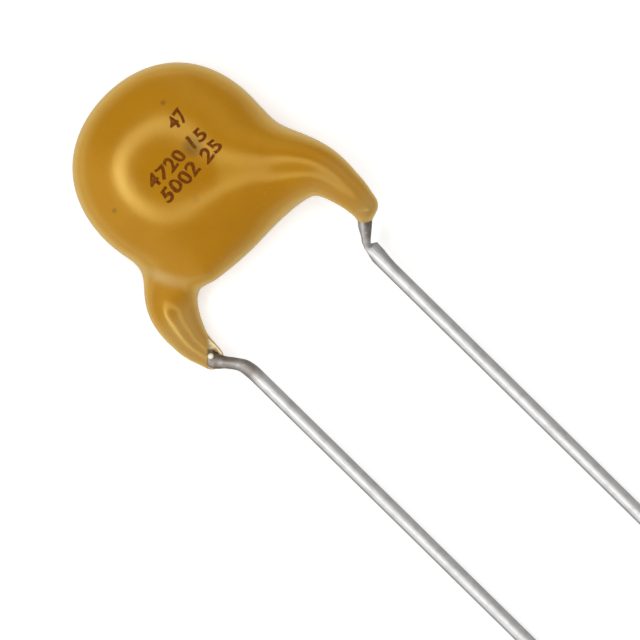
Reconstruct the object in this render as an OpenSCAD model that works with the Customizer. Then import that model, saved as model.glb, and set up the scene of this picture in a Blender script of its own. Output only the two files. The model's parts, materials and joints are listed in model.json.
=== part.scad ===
// Radial-lead ceramic disc capacitor with a dipped epoxy coating and untrimmed, kinked leads.
// Millimetres, +Z up. It lies on its back, on the swell of the coating and on both lead tips,
// with the leads toward -Y. The origin is the bottom centre of the whole part's bounding box.
//
// Each piece is drawn in the component's own frame: origin in the middle of the ceramic disc,
// front face toward +Z, leads toward -Y. at_rest() then lays every piece down together.

/* [Ceramic disc] */
// Diameter of the sintered ceramic disc
ceramic_d = 9.4; // [9:0.1:9.7]
// Thickness of the ceramic disc
ceramic_t = 1.8; // [1.5:0.1:2]
// Bare ceramic between the disc's edge and each electrode's edge
electrode_margin = 0.5; // [0.3:0.1:1]
// Thickness of each fired silver electrode
electrode_t = 0.03; // [0.02:0.01:0.06]

/* [Leads] */
// Diameter of the tinned copper wire
wire_d = 0.84; // [0.6:0.02:0.9]
// Distance between the straight parts of the two leads
lead_pitch = 9.5; // [9.2:0.1:9.8]
// Sideways shift of the disc from the middle of the leads
disc_shift = 0.44; // [0:0.02:0.6]
// Straight length of the front lead below its kink
lead_l = 30; // [6:1:40]
// How far each wire's end stops short of its electrode's edge
tail_inset = 1.9; // [1.7:0.1:2.6]
// Angle of that tail above the level of the disc's middle
tail_angle = 20; // [14:1:26]
// Bend radius at the knees, on the wire's centre line
knee_r = 0.7; // [0.5:0.05:0.8]
// Bend radius at the front kink, on the wire's centre line
front_kink_r = 0.7; // [0.5:0.05:0.8]
// Bend radius at the back kink, on the wire's centre line
back_kink_r = 2.2; // [0.6:0.1:2.6]
// Bend radius at the shoulders, on the wire's centre line
shoulder_r = 1; // [0.8:0.1:1.2]

/* [Solder] */
// Solder left between each wire and its electrode
solder_film = 0.03; // [0.02:0.01:0.06]
// Width of the solder bead that holds each wire
bead_w = 2; // [1.8:0.1:2.2]
// How far the bead's full width runs past the wire's end
bead_over = 0.5; // [0.2:0.1:0.6]
// How far the bead's full width stops short of the electrode's edge, where the wire leaves
bead_inset = 1.8; // [1.3:0.1:3]

/* [Front lead shoulder] */
// How far the shoulder stands outside the straight lead
front_shoulder_out = 1.42; // [1.3:0.02:1.5]
// Drop from the disc's middle to the shoulder
front_shoulder_drop = 5.25; // [5.1:0.05:5.4]
// Height of the shoulder above the disc's middle plane
front_shoulder_z = 1.22; // [1.1:0.02:1.3]
// How far the knee stands outside the straight lead
front_knee_out = 1.46; // [1.3:0.02:1.6]
// Drop from the disc's middle to the knee
front_knee_drop = 8.82; // [8.6:0.02:9]
// Height of the knee above the disc's middle plane
front_knee_z = 1.38; // [1.2:0.02:1.4]
// Drop from the disc's middle to the kink
front_kink_drop = 10.6; // [10.5:0.05:11]

/* [Back lead shoulder] */
// How far the shoulder stands outside the straight lead
back_shoulder_out = 0.88; // [0.8:0.02:0.96]
// Drop from the disc's middle to the shoulder
back_shoulder_drop = 4.9; // [4.75:0.05:5.05]
// Depth of the shoulder below the disc's middle plane
back_shoulder_z = 1; // [0.9:0.05:1.1]
// How far the knee stands outside the straight lead
back_knee_out = 1.18; // [1.1:0.02:1.2]
// Drop from the disc's middle to the knee
back_knee_drop = 8.92; // [8.8:0.02:9]
// Depth of the knee below the disc's middle plane
back_knee_z = 0.35; // [0.3:0.05:0.5]
// Drop from the disc's middle to the kink
back_kink_drop = 10.4; // [10.2:0.05:10.8]

/* [Coating] */
// Diameter of the coated disc
coat_d = 11.64; // [11.5:0.02:11.9]
// Thickness of the coated disc
coat_t = 4.9; // [4.7:0.1:5.4]
// How much the coated disc's outline leans from a circle toward a square
squareness = 0.013; // [0:0.001:0.03]
// Width of the coating over the front shoulder
front_shoulder_w = 2.8; // [2.6:0.02:2.9]
// Width of the front leg
front_leg_w = 2.1; // [1.9:0.02:2.2]
// Width of the front leg's round tip
front_tip_w = 1.64; // [1.56:0.02:1.76]
// Width of the coating over the back shoulder
back_shoulder_w = 2.92; // [2.7:0.02:3]
// Width of the back leg
back_leg_w = 2.06; // [1.9:0.02:2.2]
// Width of the back leg's open tip
back_tip_w = 1.38; // [1.3:0.02:1.44]
// How far the middle of the back leg's tip stops short of the knee
back_tip_short = 0.11; // [0.05:0.01:0.2]
// Thickness of the web of coating that spans the two shoulders
web_w = 2.14; // [1.9:0.02:2.3]
// Drop from the disc's middle to the middle of the web
web_drop = 4.64; // [4.5:0.02:4.8]

/* [Hidden] */

round_fn = 96;
wire_fn = 48;

// ---- Sizes that follow from the ones above ----

ceramic_r = ceramic_d / 2;
electrode_r = ceramic_r - electrode_margin;
tail_r = electrode_r - tail_inset;
wire_r = wire_d / 2;
face_z = ceramic_t / 2 + electrode_t;
wire_z = face_z + solder_film + wire_r;
coat_r = coat_d / 2;
coat_h = coat_t / 2;
lead_end = front_kink_drop + lead_l;

// A bend is a hair fatter than the wire and each straight's end is tucked into it, so that
// the two always join into one solid
bend_swell = 0.002;
bend_tuck = 0.04;

// The wire stays level until it is this far clear of the ceramic's edge
edge_gap = 0.3;

// ---- Vectors ----

function mix(a, b, t) = a + t * (b - a);
function unit(v) = v / norm(v);
function turn_angle(u, v) = acos(max(-1, min(1, u * v)));
function flat_part(p) = [p[0], p[1], 0];

// Where the level line from a toward b leaves the circle of radius r about the origin
function line_at_radius(a, b, r) =
    let (
        d = unit(flat_part(b) - flat_part(a)),
        along = flat_part(a) * d,
        off = flat_part(a) * flat_part(a) - along * along
    )
    a + (sqrt(r * r - off) - along) * d;

// ---- The two wires ----

// Corners of a wire, from its end on the electrode to its free tip. side is 1 for the front
// wire and -1 for the back one, which leaves the other face toward -X.
function wire_corners(side, shoulder, knee, kink) =
    let (
        level = side * wire_z,
        tail = [-side * tail_r * cos(tail_angle), tail_r * sin(tail_angle), level],
        leave = line_at_radius(tail, shoulder, ceramic_r + edge_gap)
    )
    [tail, leave, shoulder, knee, kink, [kink[0], -lead_end, 0]];

front_x = lead_pitch / 2 - disc_shift;
back_x = -lead_pitch / 2 - disc_shift;

front_wire = wire_corners(
    1,
    [front_x + front_shoulder_out, -front_shoulder_drop, front_shoulder_z],
    [front_x + front_knee_out, -front_knee_drop, front_knee_z],
    [front_x, -front_kink_drop, 0]
);
back_wire = wire_corners(
    -1,
    [back_x - back_shoulder_out, -back_shoulder_drop, -back_shoulder_z],
    [back_x - back_knee_out, -back_knee_drop, -back_knee_z],
    [back_x, -back_kink_drop, 0]
);
function bend_radii(kink_r) = [0, 2 * shoulder_r, shoulder_r, knee_r, kink_r, 0];
front_radii = bend_radii(front_kink_r);
back_radii = bend_radii(back_kink_r);

// Names of the corners above
TAIL = 0;
LEAVE = 1;
SHOULDER = 2;
KNEE = 3;
KINK = 4;

// ---- The coating's skin ----
// The skin is where a distance field is zero. The field blends a flattened disc, a web
// across the bottom and a tapered, flattened leg over each wire, the way the liquid epoxy
// pools between them before it sets.

lens_power = 2.25; // above 2, the disc's faces are flatter than an ellipse's
limb_flatness = 1.35; // how much wider a limb is than it is thick
limb_steps = 3; // straight limbs to each span of a leg's curve
web_blend = 1.8;
front_blend = 2.05;
back_blend = 1.25;

// The ridge over each wire rises out of the disc's face between these two distances from its
// middle. Its own middle lies below the wire's by the sink at each of the two.
ridge_start_r = 2.8;
ridge_edge_r = 5;
ridge_start_w = 3.4;
ridge_edge_w = 3.1;
front_ridge_sinks = [0.88, 0.52];
back_ridge_sinks = [1.15, 0.8];

// The coating's middle lies this far inside the wire's bend at the shoulder
shoulder_fill = 0.44;

// The web ends this share of the front shoulder's width short of the shoulder's middle
web_end_share = 0.28;

// Places of the legs' middles between shoulder and knee
front_leg_at = 0.62;
back_leg_at = 0.57;

// How far the back leg bows outside its wire there
back_leg_bow = 0.09;

// How far the middle of the back leg's tip leans inside the knee
back_tip_lean = 0.14;

function shoulder_middle(wire) =
    wire[SHOULDER] + shoulder_fill
        * unit(flat_part(unit(wire[KNEE] - wire[SHOULDER]) - unit(wire[SHOULDER] - wire[LEAVE])));

// [x, y, z, radius] of each joint of a leg, from the disc's face down to the tip
function joint(p, width) = [p[0], p[1], p[2], width / 2];
function ridge_joint(wire, r, sink, width) =
    let (p = line_at_radius(wire[TAIL], wire[SHOULDER], r))
    joint([p[0], p[1], sign(p[2]) * (abs(p[2]) - sink)], width);
function leg_joints(wire, sinks, shoulder_w, leg_at, leg_bow, leg_w, tip, tip_w) = [
    ridge_joint(wire, ridge_start_r, sinks[0], ridge_start_w),
    ridge_joint(wire, ridge_edge_r, sinks[1], ridge_edge_w),
    joint(shoulder_middle(wire), shoulder_w),
    joint(mix(wire[SHOULDER], wire[KNEE], leg_at) + [leg_bow, 0, 0], leg_w),
    joint(tip, tip_w),
];
front_joints = leg_joints(
    front_wire,
    front_ridge_sinks,
    front_shoulder_w,
    front_leg_at,
    0,
    front_leg_w,
    front_wire[KNEE],
    front_tip_w
);
back_joints = leg_joints(
    back_wire,
    back_ridge_sinks,
    back_shoulder_w,
    back_leg_at,
    -back_leg_bow,
    back_leg_w,
    back_wire[KNEE] + [back_tip_lean, back_tip_short, 0],
    back_tip_w
);

// A smooth curve through all the joints, four neighbours at a time
function between(a, b, c, d, t) =
    b + t / 2 * (c - a + t * (2 * a - 5 * b + 4 * c - d + t * (3 * (b - c) + d - a)));
function curve(joints) =
    let (
        last = len(joints) - 1,
        all = [2 * joints[0] - joints[1], each joints, 2 * joints[last] - joints[last - 1]]
    )
    [
        for (i = [1 : last], k = [0 : limb_steps - 1])
            between(all[i - 1], all[i], all[i + 1], all[i + 2], k / limb_steps),
        joints[last],
    ];

function middle(joint) = [joint[0], joint[1], joint[2]];
function thin(p) = [p[0], p[1], p[2] * limb_flatness];

// A tapered limb between two joints, touching a ball round each:
// [start, unit vector along it, length, start radius, gain in radius per mm, slant]
function limb(a, b) =
    let (start = thin(a), run = thin(b) - start, l = norm(run), gain = (b[3] - a[3]) / l)
    [start, run / l, l, a[3], gain, gain / sqrt(1 - gain * gain)];
function limb_distance(p, l) =
    let (
        v = p - l[0],
        along = v * l[1],
        off = sqrt(max(v * v - along * along, 0)),
        t = max(0, min(l[2], along + off * l[5]))
    )
    norm(v - t * l[1]) - l[3] - t * l[4];

function limbs(joints) =
    let (c = curve(joints)) [for (i = [1 : len(c) - 1]) limb(c[i - 1], c[i])];
front_limbs = limbs(front_joints);
back_limbs = limbs(back_joints);
web = limb(
    joint([back_joints[2][0] + back_shoulder_w, -web_drop, 0], web_w),
    joint([front_joints[2][0] - web_end_share * front_shoulder_w, -web_drop, 0], web_w)
);
function leg_distance(p, leg) = min([for (l = leg) limb_distance(p, l)]);

function smooth_min(a, b, blend) =
    let (h = max(blend - abs(a - b), 0))
    min(a, b) - h * h / (4 * blend);

// A disc with rounded edges and slightly square shoulders. cos(4a) sets the squareness,
// written as 1 - 8 x^2 y^2 / r^4.
function disc_distance(p) =
    let (
        r2 = max(p[0] * p[0] + p[1] * p[1], 0.01),
        square = 1 - 8 * p[0] * p[0] * p[1] * p[1] / max(r2 * r2, 1),
        u = sqrt(r2) * (1 + squareness * square) / coat_r,
        w = p[2] / coat_h,
        v = pow(u, lens_power)
    )
    (v + w * w - 1) / norm([lens_power * v / u / coat_r, 2 * w / coat_h]);

function skin_distance(p) =
    let (
        q = thin(p),
        body = smooth_min(disc_distance(p), limb_distance(q, web), web_blend),
        front = smooth_min(body, leg_distance(q, front_limbs), front_blend)
    )
    smooth_min(front, leg_distance(q, back_limbs), back_blend);

// ---- The skin's sections ----
// The skin is lofted through upright sections that fan out from a line between the two legs,
// from the front leg's tip, over the disc, to the back leg's tip.

pivot = [-disc_shift, -8.6, 0];
ring_points = 40;
tip_rings = 4;
leg_rings = 12;
body_rings = 62;
// The fan crosses the coated disc between these two angles, and a leg on either side
body_angles = [40, 140];

function fan_angle(p) = atan2(p[1] - pivot[1], p[0] - pivot[0]);
function fan_sweep(p) = let (a = fan_angle(p)) a < -90 ? a + 360 : a;

front_tip = front_joints[4];
back_tip = back_joints[4];
front_tip_angle = fan_sweep(front_tip);
back_tip_angle = fan_sweep(back_tip);

// Angle between a tip's middle and its ring number k, counted toward the tip's end
function tip_step(tip, k) =
    asin(tip[3] * sin(90 * k / (tip_rings + 1)) / norm(flat_part(tip) - pivot));

ring_angles = [
    for (k = [tip_rings : -1 : 1]) front_tip_angle - tip_step(front_tip, k),
    for (i = [0 : leg_rings - 1]) mix(front_tip_angle, body_angles[0], i / leg_rings),
    for (i = [0 : body_rings - 1]) mix(body_angles[0], body_angles[1], i / body_rings),
    for (i = [0 : leg_rings]) mix(body_angles[1], back_tip_angle, i / leg_rings),
    for (k = [1 : tip_rings]) back_tip_angle + tip_step(back_tip, k),
];

// The opening round the wire in the back leg's tip
mouth_start = 0.05; // past the knee, along the wire
mouth_rise = 0.12;
mouth_gap = 0.02;
mouth_flare = 0.4;
mouth_l = 1.6;

// A line inside the coating that every section crosses once. Over the disc it bends at these
// shares of the disc's radius.
spine_out = 0.55;
spine_drop = 0.2;
function past_tip(tip, side) =
    let (a = fan_sweep(tip))
    middle(tip) + side * tip[3] * [sin(a), -cos(a), 0];
spine = [
    past_tip(front_tip, 1),
    for (i = [4 : -1 : 2]) middle(front_joints[i]),
    [spine_out * coat_r, -spine_drop * coat_r, 0],
    [0, 0, 0],
    [-spine_out * coat_r, -spine_drop * coat_r, 0],
    for (i = [2 : 4]) middle(back_joints[i]),
    past_tip(back_tip, -1),
];
spine_angles = [for (p = spine) fan_sweep(p)];
function spine_at(angle, i = 0) =
    spine_angles[i + 1] >= angle || i == len(spine) - 2
        ? let (
            out = [cos(angle), sin(angle), 0],
            a = cross(out, spine[i] - pivot)[2],
            b = cross(out, spine[i + 1] - pivot)[2]
        )
        mix(spine[i], spine[i + 1], a / (a - b))
        : spine_at(angle, i + 1);

// Distance from p along the unit vector d to the skin, by the secant rule
reach_tolerance = 0.002;
reach_tries = 12;
min_slope = 0.3;
function reach(p, d, t, moved = 0, before = 0, tries = 0) =
    let (
        f = skin_distance(p + t * d),
        slope = tries == 0 ? 1 : max(min_slope, (f - before) / moved),
        move = -f / slope
    )
    tries == reach_tries || abs(f) < reach_tolerance
        ? t + move
        : reach(p, d, t + move, move, f, tries + 1);

// One section: its middle and half sizes are found first, and its points are then spread
// evenly round it
function ring(angle) =
    let (
        out = [cos(angle), sin(angle), 0],
        up = [0, 0, 1],
        s = spine_at(angle),
        outer = reach(s, out, 1),
        inner = reach(s, -out, 1),
        m = s + (outer - inner) / 2 * out,
        a = (outer + inner) / 2,
        top = reach(m, up, 1),
        bottom = reach(m, -up, 1),
        middle = m + (top - bottom) / 2 * up,
        b = (top + bottom) / 2,
        even = (a - b) / (a + b) * 90 / PI
    )
    [
        for (i = [0 : ring_points - 1])
            let (
                turn = 360 * i / ring_points,
                phi = turn + even * sin(2 * turn),
                v = a * cos(phi) * out + b * sin(phi) * up
            )
            middle + reach(middle, unit(v), norm(v)) * unit(v),
    ];

rings = [for (angle = ring_angles) ring(angle)];
skin_points = [for (r = rings) each r];

// ---- The rest pose ----

// Slope that brings the coating's back and both lead tips down together
rest_slope = max([for (p = skin_points) (-wire_r - p[2]) / (p[1] + lead_end)]);
rest_tilt = atan(rest_slope);
rest_top = max([for (p = skin_points) p[1] * cos(rest_tilt) - p[2] * sin(rest_tilt)]);
rest_end = -lead_end * cos(rest_tilt) - wire_r * sin(rest_tilt);
rest_floor = -lead_end * sin(rest_tilt) - wire_r * cos(rest_tilt);
skin_x = [for (p = skin_points) p[0]];

module at_rest() {
    translate([-(min(skin_x) + max(skin_x)) / 2, -(rest_top + rest_end) / 2, -rest_floor])
        rotate([rest_tilt, 0, 0])
            children();
}

// ---- Shared shapes ----

// Puts children at p with their Z axis along z and their X axis along x
module place(p, x, z) {
    y = cross(z, x);
    multmatrix([
        [x[0], y[0], z[0], p[0]],
        [x[1], y[1], z[1], p[1]],
        [x[2], y[2], z[2], p[2]],
        [0, 0, 0, 1],
    ])
        children();
}

function across(z) = unit(cross(z, [0, 0, 1]));

// A round wire through its corners, each rounded to its own bend radius
module bent_wire(corners, radii) {
    last = len(corners) - 1;
    runs = [for (i = [1 : last]) corners[i] - corners[i - 1]];
    ways = [for (r = runs) unit(r)];
    turns = [for (i = [0 : last]) i == 0 || i == last ? 0 : turn_angle(ways[i - 1], ways[i])];
    cuts = [for (i = [0 : last]) radii[i] * tan(turns[i] / 2)];
    for (i = [0 : last - 1]) {
        start_tuck = i == 0 ? 0 : bend_tuck;
        end_tuck = i == last - 1 ? 0 : bend_tuck;
        place(corners[i] + (cuts[i] - start_tuck) * ways[i], across(ways[i]), ways[i])
            cylinder(
                r = wire_r,
                h = norm(runs[i]) - cuts[i] - cuts[i + 1] + start_tuck + end_tuck,
                $fn = wire_fn
            );
    }
    for (i = [1 : last - 1]) {
        axis = unit(cross(ways[i - 1], ways[i]));
        inward = cross(axis, ways[i - 1]);
        place(corners[i] - cuts[i] * ways[i - 1] + radii[i] * inward, -inward, axis)
            rotate_extrude(angle = turns[i], $fn = round_fn)
                translate([radii[i], 0])
                    circle(wire_r + bend_swell, $fn = wire_fn);
    }
}

// The disc of the given radius and thickness that stands on one face of the ceramic
module electrode(side) {
    translate([0, 0, side * (ceramic_t + electrode_t) / 2])
        cylinder(r = electrode_r, h = electrode_t, center = true, $fn = round_fn);
}

// The wire's level run over its electrode
module wire_on_electrode(wire) {
    run = wire[LEAVE] - wire[TAIL];
    place(wire[TAIL], across(unit(run)), unit(run))
        cylinder(r = wire_r, h = norm(run), $fn = wire_fn);
}

// Half of a bar with round ends, from its middle line outward
module half_bar(length, width) {
    intersection() {
        union() {
            circle(d = width, $fn = wire_fn);
            translate([0, length / 2]) square([width, length], center = true);
            translate([0, length]) circle(d = width, $fn = wire_fn);
        }
        translate([0, -width / 2]) square([width / 2, length + width]);
    }
}

// Solder drawn out along the wire on its electrode, before the wire is taken out of it
module bead(side, wire) {
    way = unit(wire[LEAVE] - wire[TAIL]);
    start = wire[TAIL] - bead_over * way;
    end = line_at_radius(wire[TAIL], wire[LEAVE], electrode_r) - bead_inset * way;
    place([start[0], start[1], side * face_z], across(way), way)
        rotate([0, 0, side > 0 ? 180 : 0])
            rotate_extrude(angle = 180, $fn = round_fn)
                half_bar(norm(end - start), bead_w);
}

// The opening of the back leg's tip, a cone round the wire that is raised toward the front so
// that it leaves a lip on either side
module back_mouth() {
    way = unit(back_wire[KINK] - back_wire[KNEE]);
    place(back_wire[KNEE] + mouth_start * way + [0, 0, mouth_rise], across(way), way)
        cylinder(r1 = wire_r + mouth_gap, r2 = wire_r + mouth_flare, h = mouth_l, $fn = wire_fn);
}

module skin() {
    n = ring_points;
    last = len(rings) - 1;
    polyhedron(
        skin_points,
        [
            for (i = [0 : last - 1], j = [0 : n - 1])
                let (k = (j + 1) % n)
                each [
                    [i * n + j, i * n + k, (i + 1) * n + k],
                    [i * n + j, (i + 1) * n + k, (i + 1) * n + j],
                ],
            [for (j = [n - 1 : -1 : 0]) j],
            [for (j = [0 : n - 1]) last * n + j],
        ]
    );
}

// ---- The pieces ----

module ceramic_disc() {
    color("tan")
        at_rest()
            cylinder(r = ceramic_r, h = ceramic_t, center = true, $fn = round_fn);
}

module front_electrode() {
    color("silver") at_rest() electrode(1);
}

module back_electrode() {
    color("silver") at_rest() electrode(-1);
}

module front_lead() {
    color("gainsboro") at_rest() bent_wire(front_wire, front_radii);
}

module back_lead() {
    color("gainsboro") at_rest() bent_wire(back_wire, back_radii);
}

module front_solder() {
    color("darkgray")
        at_rest()
            difference() {
                bead(1, front_wire);
                wire_on_electrode(front_wire);
            }
}

module back_solder() {
    color("darkgray")
        at_rest()
            difference() {
                bead(-1, back_wire);
                wire_on_electrode(back_wire);
            }
}

module epoxy_coating() {
    color("darkgoldenrod")
        at_rest()
            difference() {
                skin();
                cylinder(r = ceramic_r, h = ceramic_t, center = true, $fn = round_fn);
                electrode(1);
                electrode(-1);
                bead(1, front_wire);
                bead(-1, back_wire);
                bent_wire(front_wire, front_radii);
                bent_wire(back_wire, back_radii);
                back_mouth();
            }
}

ceramic_disc();
front_electrode();
back_electrode();
front_lead();
back_lead();
front_solder();
back_solder();
epoxy_coating();
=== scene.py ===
"""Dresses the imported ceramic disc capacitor: amber epoxy, tinned wires, printed figures and a
white table.

Shapes are worked out in the component's own frame, in millimetres: origin in the middle of the
ceramic disc, printed face toward +Z, leads toward -Y. TO_ROW takes them to the row frame.
"""

import json
import math

import bmesh
import bpy
import numpy as np
from bpy.props import (
    FloatProperty, FloatVectorProperty, IntProperty, PointerProperty, StringProperty,
)
from mathutils import Matrix, Vector
from mathutils.bvhtree import BVHTree


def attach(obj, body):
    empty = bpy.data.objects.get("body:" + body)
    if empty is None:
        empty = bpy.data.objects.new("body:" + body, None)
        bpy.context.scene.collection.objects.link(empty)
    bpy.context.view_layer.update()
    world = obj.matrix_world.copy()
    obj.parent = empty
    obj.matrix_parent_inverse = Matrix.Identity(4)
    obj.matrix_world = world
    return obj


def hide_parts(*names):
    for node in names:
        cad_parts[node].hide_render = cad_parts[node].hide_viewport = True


bl_info = {
    "name": "Ceramic Disc Capacitor",
    "version": (1, 0, 0),
    "blender": (4, 5, 0),
    "location": "3D View > Sidebar > Capacitor",
    "description": "Dresses a dipped ceramic disc capacitor on its long leads",
    "category": "Object",
}

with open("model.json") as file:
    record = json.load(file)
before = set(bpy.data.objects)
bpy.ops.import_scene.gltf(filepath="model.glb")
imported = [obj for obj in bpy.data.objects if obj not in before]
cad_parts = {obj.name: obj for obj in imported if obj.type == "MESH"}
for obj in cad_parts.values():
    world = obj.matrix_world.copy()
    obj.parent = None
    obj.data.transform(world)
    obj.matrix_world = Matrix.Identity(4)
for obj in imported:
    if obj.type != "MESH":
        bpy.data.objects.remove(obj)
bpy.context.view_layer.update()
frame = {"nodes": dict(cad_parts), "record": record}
MM = 0.001

# ---- The component's own frame ----

LEAD_END = 40.6  # from the disc's middle down to the leads' tips
FRONT_X = 4.31
BACK_X = -5.19
WIRE_R = 0.42
WIRE_LEVEL = 1.38  # height of a wire's run over the disc's face
TAIL_R = 2.3  # how far from the disc's middle the run starts
TAIL_ANGLE = math.radians(20)  # of its start above the level of the middle
LEAVE_R = 5.0  # and where it leaves the disc


def row_placement():
    """Component frame to row frame, from the front lead's free end."""
    lead = next(m for m in frame["record"]["mounts"] if m["name"] == "front_lead")
    way = Vector(lead["axis"])
    tip = Vector(lead["pos_m"]) + way * lead["dims"]["length_mm"] * MM / 2
    turn = Matrix.Rotation(math.atan2(-way.z, -way.y), 4, "X")
    start = tip - turn @ Vector((FRONT_X * MM, -LEAD_END * MM, 0))
    return Matrix.Translation(start) @ turn @ Matrix.Scale(MM, 4)


TO_ROW = row_placement()


def at_radius(a, b, radius):
    """Where the level line from a toward b is this far from the disc's middle."""
    way = np.subtract(b[:2], a[:2])
    way /= np.hypot(*way)
    along = np.dot(a[:2], way)
    off = np.dot(a[:2], a[:2]) - along**2
    x, y = a[:2] + (math.sqrt(radius**2 - off) - along) * way
    return x, y, a[2]


def wire_corners(side, shoulder, knee, kink):
    """A wire's corners from its end on the disc to its tip. side is 1 in front and -1 behind."""
    start = (-side * math.cos(TAIL_ANGLE), math.sin(TAIL_ANGLE))
    tail = (start[0] * TAIL_R, start[1] * TAIL_R, side * WIRE_LEVEL)
    leave = at_radius(tail, shoulder, LEAVE_R)
    return [tail, leave, shoulder, knee, kink, (kink[0], -LEAD_END, 0.0)]


TAIL, LEAVE, SHOULDER, KNEE, KINK = range(5)  # which of the corners
FRONT_WIRE = wire_corners(1, (5.73, -5.25, 1.22), (5.77, -8.82, 1.38), (FRONT_X, -10.6, 0.0))
BACK_WIRE = wire_corners(-1, (-6.07, -4.9, -1.0), (-6.37, -8.92, -0.35), (BACK_X, -10.4, 0.0))
FRONT_RADII = (0, 2.0, 1.0, 0.7, 0.7, 0)
BACK_RADII = (0, 2.0, 1.0, 0.7, 2.2, 0)
WIRE_SIDES = 40
WIRE_STEP = 0.5  # longest face along a wire
KINK_STEP = 0.08  # and between its knee and its kink
BEND_STEPS = 16
CUT_BEVEL = 0.05  # round the cut ends
FORMED_Y = (-11.6, -10.9)  # heights between which the tarnish of forming fades in

# Marks of the tool that kinked the wires. A pair is where an effect is nil and where it is full,
# as a distance past the knee, a height or a distance to the inner side.
PRESS_STEP_Y = -10.84  # the pressed part ends here in a step
PRESS_DEPTH = 0.22
PRESS_RUN = (0.6, 2.4)
SQUEEZE = 0.19
SQUEEZE_Y = ((-9.3, -10.2), (-11.3, -10.7))
SQUEEZE_SPARE = 0.3  # share by which the slanted part may stay wider than the wire
SQUEEZE_SPARE_RISE = (0, 0.4)  # above the kink
BULGE = 0.12
BULGE_Y = (-12.4, -11)
INNER_SIDE = (-0.3, 0.0)
OUTER_TARNISH = 0.1  # share of the tarnish that the outer side keeps
LOW_TARNISH = 0.3  # share that the kink's lower end keeps
LOW_TARNISH_Y = (-10.9, -10.1)
STREAK = 0.45  # a darker streak down one side of the straight
STREAK_SIDE = (0.05, 0.3)
STREAK_Y = (-14, -11.5)
BACK_PRESS = 0.82  # share of its width that the back wire keeps
BACK_PRESS_RUN = ((0.3, 0.9), (2.1, 1.5))
BACK_TARNISH = 0.7
BACK_TARNISH_MORE = 0.25
BACK_TARNISH_RUN = (1.3, 0.5)

# ---- The coating's skin, as a distance field over arrays of points ----

COAT_R = 5.82
COAT_H = 2.45
SQUARENESS = 0.013
LENS_POWER = 2.25
LIMB_FLATNESS = 1.35
LEG_POWER = 2.1
WEB_BLEND, FRONT_BLEND, BACK_BLEND = 1.8, 2.05, 1.25

RIDGE_START_R, RIDGE_EDGE_R = 2.8, 5.0  # a ridge rises between these, from the disc's middle
SHOULDER_FILL = 0.44  # how far the coating's middle lies inside the wire's bend
WEB_DROP = 4.64
WEB_R = 1.07
WEB_INSET = (2.92, 0.784)  # from the middles of the back and the front shoulder


def run_joint(wire, radius_on_disc, z, radius):
    """A joint over a wire's run on the disc."""
    x, y, _ = at_radius(wire[TAIL], wire[SHOULDER], radius_on_disc)
    return x, y, z, radius


def shoulder_middle(wire):
    """Middle of the coating where a wire bends down, as (x, y)."""
    leave, shoulder, knee = (np.array(wire[corner]) for corner in (LEAVE, SHOULDER, KNEE))
    down, out = knee - shoulder, shoulder - leave
    inward = (down / np.linalg.norm(down) - out / np.linalg.norm(out))[:2]
    return shoulder[:2] + SHOULDER_FILL * inward / np.linalg.norm(inward)


def leg_joint(wire, share, off, z, radius):
    """A joint at this share of the way from shoulder to knee, off the wire by (x, y)."""
    shoulder, knee = np.array(wire[SHOULDER][:2]), np.array(wire[KNEE][:2])
    return (*(shoulder + share * (knee - shoulder) + off), z, radius)


# [x, y, z, radius] of each leg's joints, from the disc's face down to the tip. They stand a
# little off the solid's own, so that the ridges catch the lamps in two fine lines.
FRONT_LEG = np.array([
    run_joint(FRONT_WIRE, RIDGE_START_R, 0.38, 2.0),
    run_joint(FRONT_WIRE, RIDGE_EDGE_R, 0.7, 1.9),
    (*shoulder_middle(FRONT_WIRE), 1.26, 1.4),
    leg_joint(FRONT_WIRE, 0.62, (0, 0), 1.36, 1.05),
    leg_joint(FRONT_WIRE, 1, (0, 0), 1.28, 0.82),
])
BACK_LEG = np.array([
    run_joint(BACK_WIRE, RIDGE_START_R, -0.23, 1.7),
    run_joint(BACK_WIRE, RIDGE_EDGE_R, -0.58, 1.55),
    (-5.66, -5.15, -1.1, 1.46),
    leg_joint(BACK_WIRE, 0.57, (-0.09, 0), -0.66, 1.03),
    leg_joint(BACK_WIRE, 1, (0.14, 0.11), -0.38, 0.69),
])
WEB = [
    (shoulder_middle(BACK_WIRE)[0] + WEB_INSET[0], -WEB_DROP, 0.0, WEB_R),
    (shoulder_middle(FRONT_WIRE)[0] - WEB_INSET[1], -WEB_DROP, 0.0, WEB_R),
]

SKIN_TUCK = 0.02  # keeps the skin just inside the solid's box

# [x, y, radius, strength] of the small stains on the printed face
STAINS = (
    (1.44, 0.3, 0.8, 0.6),
    (-4.17, 0.88, 0.2, 0.5),
    (2.0, 3.15, 0.2, 0.5),
    (-0.56, -1.9, 0.35, 0.15),
)

# The back tip's mouth: a slanted front edge that bares the wire over a rimmed hollow
MOUTH_LIP = np.array((-6.317, -8.542))  # a point on the front edge
MOUTH_WAY = np.array((0.701, -0.713))  # square to that edge, toward the open side
MOUTH_FLOOR = -0.28  # height of the rim
MOUTH_DEPTH = 0.22  # of the hollow below the rim
MOUTH_RIM = 0.2  # width
MOUTH_SOFTEN = 0.05  # either side of the rim's inner edge
MOUTH_REACH = 1.4  # how far from the lip the cut may go
MOUTH_BLEND = 0.06
# A near-white bead on the back wire: a painted highlight, standing in for the glint on the wire's
# bend in the mouth
DROP = (-6.22, -8.69, 0.03)
DROP_R = 0.175

# The thin collar that the coating leaves on the front wire
COLLAR_T = 0.03
COLLAR_L = 0.9
COLLAR_TAPER = 0.3
COLLAR_BLEND = 0.3


def smooth_min(a, b, blend):
    h = np.maximum(blend - np.abs(a - b), 0)
    return np.minimum(a, b) - h * h / (4 * blend)


def smooth_max(a, b, blend):
    return -smooth_min(-a, -b, blend)


def smooth_step(low, high, x):
    t = np.clip((x - low) / (high - low), 0, 1)
    return t * t * (3 - 2 * t)


def ramp(low, high, x):
    """smooth_step for one number."""
    return float(smooth_step(low, high, x))


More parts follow.
